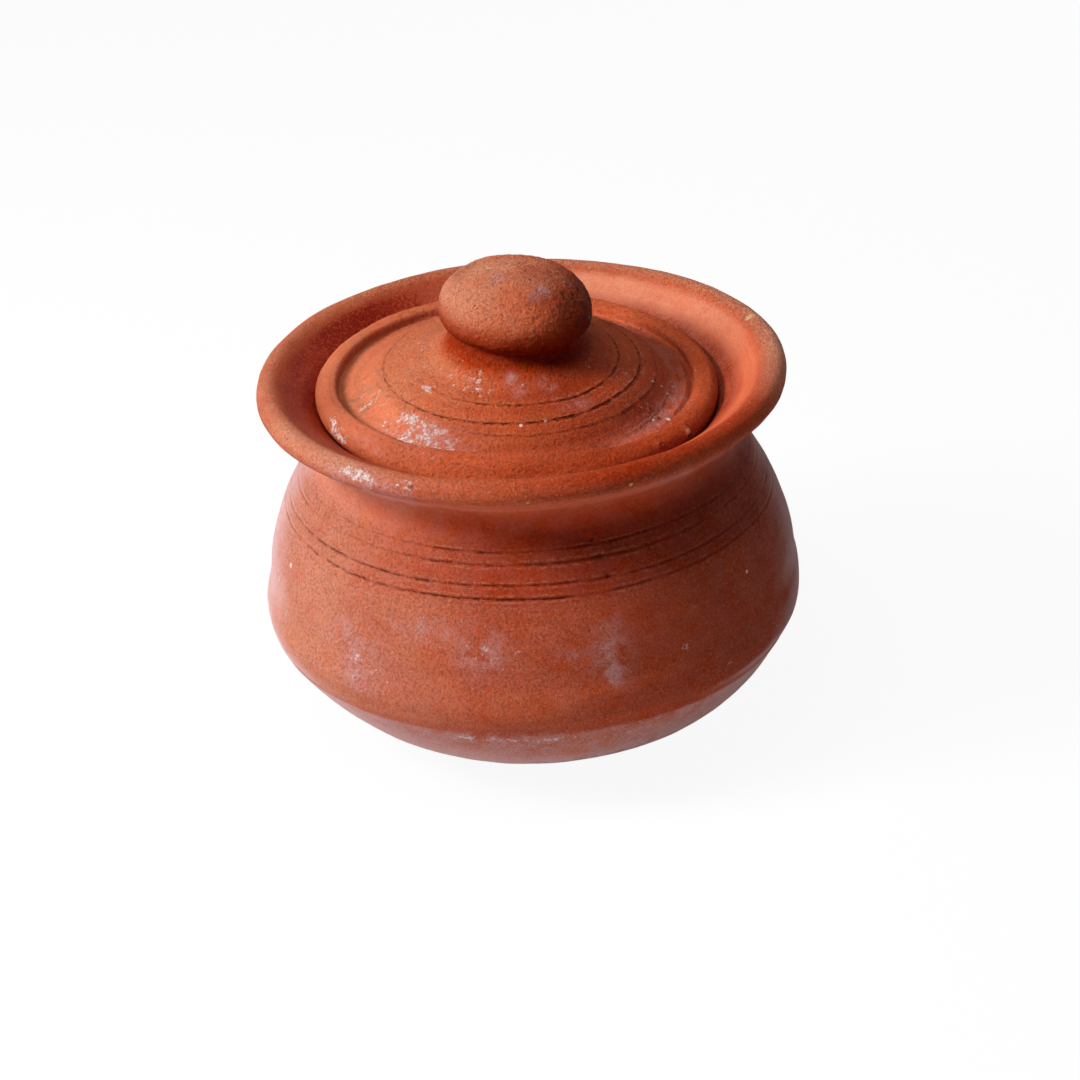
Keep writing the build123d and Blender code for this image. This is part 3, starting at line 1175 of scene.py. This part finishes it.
@dataclass
class Lid:
    """The thrown lid: a round edge, a channel inside it, and a ringed dome that rises into a stem."""

    stem_radius: float = 21.4
    stem_top: float = 30.0
    waist_height: float = 22.6
    edge_ring: float = 64.63
    edge_radius: float = 4.75
    channel: Pair = (61.2, 1.0)
    hollow_height: float = 8.0
    height: float = 119.85
    shift: float = 2.652
    lean: float = 2.8
    raised_side: float = 128.0
    turns: int = 544

    roll_slide = around(0, -2.4, 30, -1.6, 90, 0, 180, 0.8, 225, 3.6, 270, 4.6, 287, 2.6, 315, -1, 340, -2.4)
    channel_lift = around(0, 0.8, 60, 0.2, 120, 0, 190, 0.1, 230, 0.9, 265, 2, 290, 1.9, 320, 1)
    # Painted light by bearing on the dome's side towards the window lamp.
    dome_lit_pale = around(
        0, 0.1, 60, 0.15, 120, 0.4, 160, 0.6, 200, 0.65, 225, 0.45, 250, 0.2, 275, 0.1, 300, 0)
    channel_dust = around(0, 0.45, 40, 0.3, 90, 0.2, 180, 0, 240, 0.25, 290, 0.12, 315, 0.4, 335, 0.6)
    # Painted shade and painted red shade by bearing on the dome and the roll, on the side away from the window
    # lamp and in the gap at the seat.
    dome_shade = around(0, 0.2, 40, 0.3, 70, 0.1, 220, 0, 255, 0.2, 280, 0.4, 300, 0.6, 330, 0.5, 350, 0.25)
    roll_shade = around(0, 0, 60, 0, 90, 0, 125, 0, 160, 0.15, 190, 0.45, 260, 0.15, 295, 0.4, 330, 0.1)
    lid_red_shade = around(0, 0.3, 40, 0.1, 90, 0, 240, 0, 270, 0.3, 310, 0.4)
    ring_one = around(0, 0.9, 40, 0.5, 90, 0.2, 180, 0.1, 230, 0.3, 250, 0.9, 300, 1.1)
    ring_two = around(0, 1, 30, 0.7, 80, 0.3, 140, 0.4, 180, 0.5, 215, 0.8, 250, 1, 300, 1.3)
    ring_three = around(0, 0.5, 40, 0.2, 180, 0, 240, 0.1, 265, 0.7, 320, 0.6)
    ring_four = around(0, 0.4, 40, 0.1, 180, 0, 250, 0.1, 290, 0.6, 320, 0.7)

    marks = (
        *patches(
            Layer.SALT, (229, 54, 3, 7, 0.82, 1.9), (243, 55, 2.6, 6, 0.85, 1), (240, 60.5, 1, 4, 0.7, 1.6),
            (222, 48, 7.6, 4, 0.6, 2), (216.5, 36.8, 12.2, 2.2, 0.95, 1.5), (268, 28, 15.6, 3, 0.32, 1.5),
            (240, 29, 15.2, 6, 0.36, 2), (208.5, 69, 1.6, 2.6, 0.95, 2), (204, 68.4, 3, 2.2, 0.7, 1.6),
            (196, 52, 4.5, 7, 0.3, 1.6)),
        *patches(
            Layer.DUST, (233, 54, 3, 8, 0.75, 2), (264.3, 25.7, 17.1, 2.4, 0.9, 0.9),
            (271.2, 30.7, 14.4, 2.6, 0.9, 0.8), (289, 29, 15.1, 2.4, 0.9, 1.2), (222, 66.5, 4.3, 3, 0.6, 3),
            (300, 40, 11.2, 3, 0.5, 2)),
        # The pale patch on the left of the lid is painted light.
        *patches(Layer.PAINTED_LIGHT, (186, 50, 5.8, 7, 0.85, 2.2)),
        *patches(Layer.SOOT, (188, 54, 4, 8, 0.35, 2.6), (325, 48, 7, 9, 0.3, 2)),
    )
    spots = (
        *dots(
            SpotKind.GRAIN, (13.2, 52.7, 4, 0.6), (344.5, 47.7, 8, 0.6), (347, 50.4, 5.6, 0.6),
            (344.8, 53.9, 3.1, 0.6), (352, 55.5, 2.2, 0.5), (325.5, 55, 2.4, 0.6), (329.5, 60.5, 1.1, 0.9),
            (313.4, 68.3, 3, 0.5), (283.6, 62, 1.2, 0.8), (270.5, 44.4, 9.8, 0.7), (281, 44.2, 9.9, 0.6)),
        *dots(
            SpotKind.PIT, (328.6, 51.6, 4.7, 0.9), (327.1, 56.3, 2.4, 1.2), (324, 69, 1.2, 0.9),
            (312.9, 68, 3.3, 1.1)),
        *dots(SpotKind.CHIP, (325.1, 68.6, 2.4, 1.4)),
    )

    def outline(self) -> Outline:
        """Draws the half section, from the top of the stem over the edge to the hollow.

        Returns:
            The outline.
        """
        ring = (self.edge_ring, 0)
        drawn = Outline().line(
            (0, self.stem_top), (self.stem_radius, self.stem_top), (self.stem_radius, self.waist_height))
        drawn.sweep((24.4, 18.1), (0.0, -1.8), (1.8, -1.5))
        drawn.through(
            (28.5, 15.3), (35.6, 12.6), (43.8, 10.1), (47.5, 8.1), (53.0, 3.6), (57.5, 1.5), self.channel)
        drawn.sweep(on_circle(ring, self.edge_radius, 118), (0.7, 0.0), (0.9, 0.9))
        drawn.arc(ring, self.edge_radius, 118, -90)
        drawn.through((57.0, -4.6), (50.0, -1.6), (40.0, 4.4), (28.5, 7.8), (20.0, self.hollow_height))
        return drawn.line((0, self.hollow_height))

    def place(self) -> Matrix:
        """Gives the move that lays the lid, leaning, on the seat.

        Returns:
            The move, in metres.
        """
        side = heading(self.raised_side)
        move = Matrix.Translation((side * self.shift + UP * self.height) * MM)
        return move @ Matrix.Rotation(math.radians(self.lean), 4, side.cross(UP))

    def build(self, effects: Effects) -> bpy.types.Object:
        """Throws, works and dresses the lid.

        Args:
            effects: the shared effects.

        Returns:
            The lid.
        """
        outline = self.outline()
        waist = outline.place_of((self.stem_radius, self.waist_height))
        edge = outline.place_of((self.edge_ring + self.edge_radius, 0))
        channel = outline.place_of(self.channel)
        rings = [
            Groove((35.5, 12.6), 0.50, 0.34, 0.30, self.ring_one, 5, 1.2, 245),
            Groove((43.7, 10.1), 0.60, 0.34, 0.35, self.ring_two, 6, 2.2, 205),
            Groove((47.9, 7.7), 0.35, 0.45, 0.25, self.ring_three, 7, 0.5, 300),
            Groove((54.2, 2.9), 0.25, 0.50, 0.50, self.ring_four, 8, 2.6, 250),
        ]
        lines = [outline.place_of(ring.place) for ring in rings]
        third_ring = lines[2]

        def spacing(along: float) -> float:
            """Close rows at the rings and the roll, open ones underneath.

            Args:
                along: distance along the outline.

            Returns:
                How far apart the rows are.
            """
            if min(abs(along - line) for line in lines) < 1.3:
                return 0.3
            if along < waist:
                return 3.5
            return 4.0 if along > edge + 4 else 0.62

        def touch(here: Touch) -> None:
            """Leaves sand and soft waves in the top, lets the roll come and go, and lays the layers.

            Args:
                here: the vertex, changed in place.
            """
            side, along = here.bearing, here.along
            # Painted shade and painted red shade on the stem under the knob.
            if along < waist:
                here.lay(Layer.PAINTED_SHADE, 0.8)
                here.lay(Layer.PAINTED_RED_SHADE, 1.0)
                return
            if along > channel - 14:
                here.slide += self.roll_slide.at(side) * band(along, channel - 13, channel, channel, edge)
                here.push += UP * (self.channel_lift.at(side) * bump_shape(along - channel, 4.5))
            lit_pale, dust = self.dome_lit_pale.at(side), self.channel_dust.at(side)
            # Painted light on the lit side of the dome.
            here.lay(Layer.PAINTED_LIGHT, lit_pale * (1 - smooth_step(edge - 4, edge + 4, along)))
            here.lay(Layer.DUST, dust * bump_shape(along - channel + 4, 6))
            # Painted red shade under the knob and on the dome's far side.
            here.lay(
                Layer.PAINTED_RED_SHADE, self.lid_red_shade.at(side), 1.2 * (1 - smooth_step(waist + 3, waist + 11, along)))
            # Painted shade round the foot of the stem under the knob, and on the dome and roll away from the
            # window lamp.
            here.lay(
                Layer.PAINTED_SHADE, 0.6 * (1 - smooth_step(waist + 1, waist + 9, along)),
                self.dome_shade.at(side) * (1 - smooth_step(channel - 8, channel, along)),
                self.roll_shade.at(side) * smooth_step(channel - 4, channel + 2, along))
            here.lay(
                Layer.SALT, 0.25 * smooth_step(0.2, 0.8, dust),
                0.25 * smooth_step(0.1, 0.9, lit_pale) * bump_shape(here.point.x - 34, 10))
            left = smooth_step(60, 20, abs(turn_between(side, 185)))
            smooth = left * band(along, third_ring - 3, third_ring + 2, edge - 6, edge)
            here.lay(Layer.SMOOTH, 0.6 * smooth)
            sand = 0.14 * noise.noise(here.place / 1.9) + 0.10 * noise.noise(here.place / 1.1)
            here.out += 0.25 * noise.noise(here.place / 16) + (1 - 0.5 * smooth) * sand

        piece = TurnedPiece("lid_clay", outline, self.turns, spacing, self.marks, self.spots, rings)
        skin = piece.thrown(touch)
        laid = self.place()
        spots = [(spot, laid @ centre) for spot, centre in piece.spot_centres(skin)]
        bmesh.ops.transform(skin, matrix=laid, verts=skin.verts)
        # The lid's clay is mixed lighter than the pot's, as painted light on its upward-facing top.
        finish = ClayFinish(
            "lid_terracotta", warm=clay(220, 98, 52), deep=clay(196, 76, 34), lit_pale=clay(204, 136, 102),
            grain_size=0.001, grain_share=0.45, light_grains=0.45, grain_height=0.0016, crack_width=0.00028,
            crack_shade=0.85, specks=0.8, hole_spacing=0.0032, hole_share=0.22,
        )
        return piece.fired(skin, Body.LID, "lid", finish.mixed(effects, spots, laid))


@dataclass
class Knob:
    """The knob: a flattened ball of coarse clay pressed over the stem of the lid."""

    radius: float = 26.3
    middle_height: float = 30.8
    crown: float = 15.3
    underside: float = 9.5
    crown_power: float = 2.15
    underside_power: float = 2.8
    socket_radius: float = 21.6
    socket_top: float = 30.2
    socket_rim: Pair = (21.6, -7.2)
    tilt: float = 3.3
    turns: int = 448

    # Painted light by bearing on the knob's side towards the window lamp.
    lit_pale = around(0, 0, 60, 0.3, 120, 0.75, 180, 0.95, 225, 0.75, 260, 0.4, 290, 0.15, 320, 0)

    marks = (
        *patches(
            Layer.SOOT, (347, 26, 2.2, 7, 1, 1.2), (347, 23.5, 7, 6.5, 1, 1.5),
            (344, 25.5, -4.5, 3.5, 0.8, 1.4), (320, 21, 9.4, 5, 0.6, 1.8), (328, 18.8, 10.4, 2.2, 0.9, 1.6),
            (336, 23.2, 7.2, 2.6, 0.8, 1.2), (326, 25.6, 3.4, 2, 0.7, 1.4), (160, 19, 11, 4, 0.35, 2)),
        *patches(
            Layer.DUST, (303, 15.2, 12.5, 3, 1, 0.8), (288.6, 17.2, 11.7, 2.8, 1, 0.9),
            (226.8, 9.9, 14.3, 2.4, 0.8, 1.2)),
        *patches(Layer.SALT, (345, 17.6, 10.9, 2.4, 0.5, 1.5), (343, 26, 1, 2.4, 0.6, 0.6)),
    )
    spots = (
        *dots(SpotKind.CHIP, (173.9, 9.6, 14.6, 1.2)),
        *dots(
            SpotKind.PIT, (344.9, 17.6, 10.9, 0.8), (335, 20.5, 9.2, 0.7), (350, 21, 9, 0.7),
            (325, 18.5, 10.6, 0.6), (338, 23.6, 6.6, 0.7), (300, 9, 14.8, 0.6), (230, 22, 8.6, 0.6)),
    )

    def curve(self, angle: float, height: float, power: float) -> Pair:
        """Place on the rounded outline, for an angle up from its widest line and a height at its middle."""
        wide = max(0.0, math.cos(angle)) ** (2 / power)
        return self.radius * wide, height * math.sin(angle) ** (2 / power)

    def outline(self) -> Outline:
        """Draws the half section about the knob's own middle, from the socket over the crown.

        Returns:
            The outline.
        """
        top = self.socket_top - self.middle_height
        start = math.acos(math.sqrt((self.socket_radius / self.radius) ** self.underside_power))
        _, mouth = self.curve(start, -self.underside, self.underside_power)
        drawn = Outline().line((0, top), (self.socket_radius, top), (self.socket_radius, mouth))
        drawn.formula(100, lambda share: self.curve(start * (1 - share), -self.underside, self.underside_power))
        drawn.formula(300, lambda share: self.curve(math.pi / 2 * share, self.crown, self.crown_power))
        drawn.points[-1].x = 0.0
        return drawn

    def build(self, effects: Effects, laid: Matrix) -> bpy.types.Object:
        """Shapes, roughens and dresses the knob.

        Args:
            effects: the shared effects.
            laid: how the lid lies on its seat.

        Returns:
            The knob.
        """
        outline = self.outline()
        rim = outline.place_of(self.socket_rim)

        def spacing(along: float) -> float:
            """Even rows outside, open ones in the socket."""
            return 3.0 if along < rim - 1 else 0.36

        def touch(here: Touch) -> None:
            """Roughens the skin with coarse sand, leaves the palm's soft lumps, and lays the layers.

            Args:
                here: the vertex, changed in place.
            """
            if here.along < rim + 0.5:
                return
            up = here.point.y
            # Painted light on the lit side and on the top of the knob.
            here.lay(
                Layer.PAINTED_LIGHT, self.lit_pale.at(here.bearing) * (0.35 + 0.65 * smooth_step(-4, 6, up)),
                0.55 * smooth_step(10, 15, up))
            slanted = Vector((here.place.x, here.place.y, here.place.z * 1.3))
            here.out += 0.3 * noise.noise(here.place / 9)
            here.out += 0.22 * noise.fractal(slanted / 1.7, 0.6, 2.1, 3) - 0.2
            # Painted shade and painted red shade on the knob's underside, and painted shade on its end away
            # from the window lamp.
            low = 1 - smooth_step(-7.5, 6, up)
            unlit_end = smooth_step(75, 15, abs(turn_between(here.bearing, 345)))
            here.lay(Layer.PAINTED_SHADE, 0.6 * low, 0.75 * unlit_end * (1 - 0.6 * smooth_step(6, 14, up)))
            here.lay(Layer.PAINTED_RED_SHADE, 1.5 * low)

        piece = TurnedPiece("knob_clay", outline, self.turns, spacing, self.marks, self.spots)
        skin = piece.thrown(touch)
        lift = Matrix.Translation(UP * self.middle_height * MM)
        lean = Matrix.Rotation(math.radians(self.tilt), 4, "Y")
        spots = [(spot, laid @ lift @ lean @ centre) for spot, centre in piece.spot_centres(skin)]
        row_layer = skin.verts.layers.int["row"]
        for vertex in skin.verts:
            share = smooth_step(rim - 1, rim + 3, piece.rows[vertex[row_layer]][0])
            vertex.co = lift @ vertex.co.lerp(lean @ vertex.co, share)
        bmesh.ops.transform(skin, matrix=laid, verts=skin.verts)
        # The knob's clay is mixed lighter than the pot's, as painted light on the upward-facing knob.
        finish = ClayFinish(
            "knob_terracotta", warm=clay(214, 92, 44), deep=clay(190, 70, 28), lit_pale=clay(224, 154, 122),
            grain_share=0.45, light_grains=0.4, dark_grains=0.45, tone_spread=0.7, grain_height=0.002,
            specks=0.5, streak_height=0.0, hole_spacing=0.0021, hole_share=0.28,
        )
        return piece.fired(skin, Body.LID, "lid_knob", finish.mixed(effects, spots, laid))


@dataclass
class Studio:
    """Where the pot stands: a pale floor, soft light from the upper left and the camera."""

    focal: float = 3200.0
    elevation: float = 25.13
    roll: float = 3.0
    distance: float = 1.101
    at: tuple[float, float, float] = (0.0, 0.0, 0.12445)
    pixel: Pair = (521.0, 378.2)
    frame_side: float = 1080.0
    sensor: float = 36.0
    floor_radius: float = 4.0
    floor_white: float = 0.93
    room_light: float = 0.045
    lamp_distance: float = 1.2
    lamp_aim: float = 0.08

    def set_camera(self) -> None:
        """Stands the camera where the photograph was taken from."""
        camera = add_object("camera", bpy.data.cameras.new("camera"))
        camera.data.sensor_width = self.sensor
        camera.data.lens = self.focal / self.frame_side * self.sensor
        high, half = math.radians(self.elevation), self.frame_side / 2
        back = Vector((0, -math.cos(high), math.sin(high)))
        roll = Matrix.Rotation(-math.radians(self.roll), 4, "Z").to_quaternion()
        ray = Vector((self.pixel[0] - half, half - self.pixel[1], -self.focal)).normalized()
        aim = (-UP).rotation_difference(ray).inverted()
        camera.rotation_mode = "QUATERNION"
        camera.rotation_quaternion = (-back).to_track_quat("-Z", "Y") @ roll @ aim
        camera.location = Vector(self.at) + back * self.distance
        bpy.context.scene.camera = camera

    def lay_floor(self) -> None:
        """Lays a pale floor that keeps a faint shadow."""
        mesh = bmesh.new()
        bmesh.ops.create_circle(mesh, cap_ends=True, segments=96, radius=self.floor_radius)
        data = bpy.data.meshes.new("floor")
        mesh.to_mesh(data)
        mesh.free()
        material = bpy.data.materials.new("floor_paper")
        material.use_nodes = True
        sheet = Sheet(material.node_tree)
        shader = material.node_tree.nodes["Principled BSDF"]
        sheet.feed(shader.inputs["Base Color"], (0.85, 0.85, 0.85, 1))
        sheet.feed(shader.inputs["Roughness"], 0.9)
        sheet.feed(shader.inputs["Specular IOR Level"], 0.1)
        seen = sheet.times(sheet.node("LightPath", {})["Is Camera Ray"], self.floor_white)
        sheet.blend(seen, shader.outputs[0], sheet.node("Emission", {"Color": WHITE})[0], "Material Output")
        data.materials.append(material)
        add_object("floor", data)

    def light_room(self) -> None:
        """Keeps the room dim for the clay, and white where the camera or a reflection sees it."""
        world = bpy.data.worlds.new("room")
        bpy.context.scene.world = world
        world.use_nodes = True
        sheet = Sheet(world.node_tree)
        dim = world.node_tree.nodes["Background"]
        sheet.feed(dim.inputs["Color"], WHITE)
        sheet.feed(dim.inputs["Strength"], self.room_light)
        path = sheet.node("LightPath", {})
        seen = sheet.maths("MAXIMUM", path["Is Camera Ray"], path["Is Transmission Ray"])
        seen = sheet.maths("MAXIMUM", seen, path["Is Glossy Ray"])
        white = sheet.node("Background", {"Color": WHITE, "Strength": 1.0})[0]
        sheet.blend(seen, dim.outputs[0], white, "World Output")

    def hang_lamp(self, name: str, bearing: float, high: float, size: float, energy: float) -> None:
        """Hangs a round soft lamp that faces the pot.

        Args:
            name: name of the lamp.
            bearing: side that it hangs on, in degrees.
            high: how high it hangs, in degrees.
            size: its width in metres.
            energy: its power in watts.
        """
        lamp = add_object(name, bpy.data.lights.new(name, "AREA"))
        lamp.data.shape = "DISK"
        lamp.data.size = size
        lamp.data.energy = energy
        up = math.radians(high)
        way = heading(bearing) * math.cos(up) + UP * math.sin(up)
        lamp.location = UP * self.lamp_aim + way * self.lamp_distance
        lamp.rotation_mode = "QUATERNION"
        lamp.rotation_quaternion = way.to_track_quat("Z", "Y")

    def set_up(self) -> None:
        """Sets up the camera, the floor and the light."""
        self.set_camera()
        self.lay_floor()
        self.light_room()
        self.hang_lamp("window", 199.0, 40.0, 0.45, 19.5)
        self.hang_lamp("far_window", 62.0, 9.0, 0.6, 2.0)
        self.hang_lamp("skylight", 235.0, 76.0, 0.7, 5.7)
        bpy.context.scene.view_settings.view_transform = "Standard"


def main() -> None:
    """Builds and dresses the pot, the lid and the knob, then sets up the studio."""
    effects = Effects()
    Pot().build(effects)
    lid = Lid()
    lid.build(effects)
    Knob().build(effects, lid.place())
    Studio().set_up()


if __name__ == "__main__":
    main()
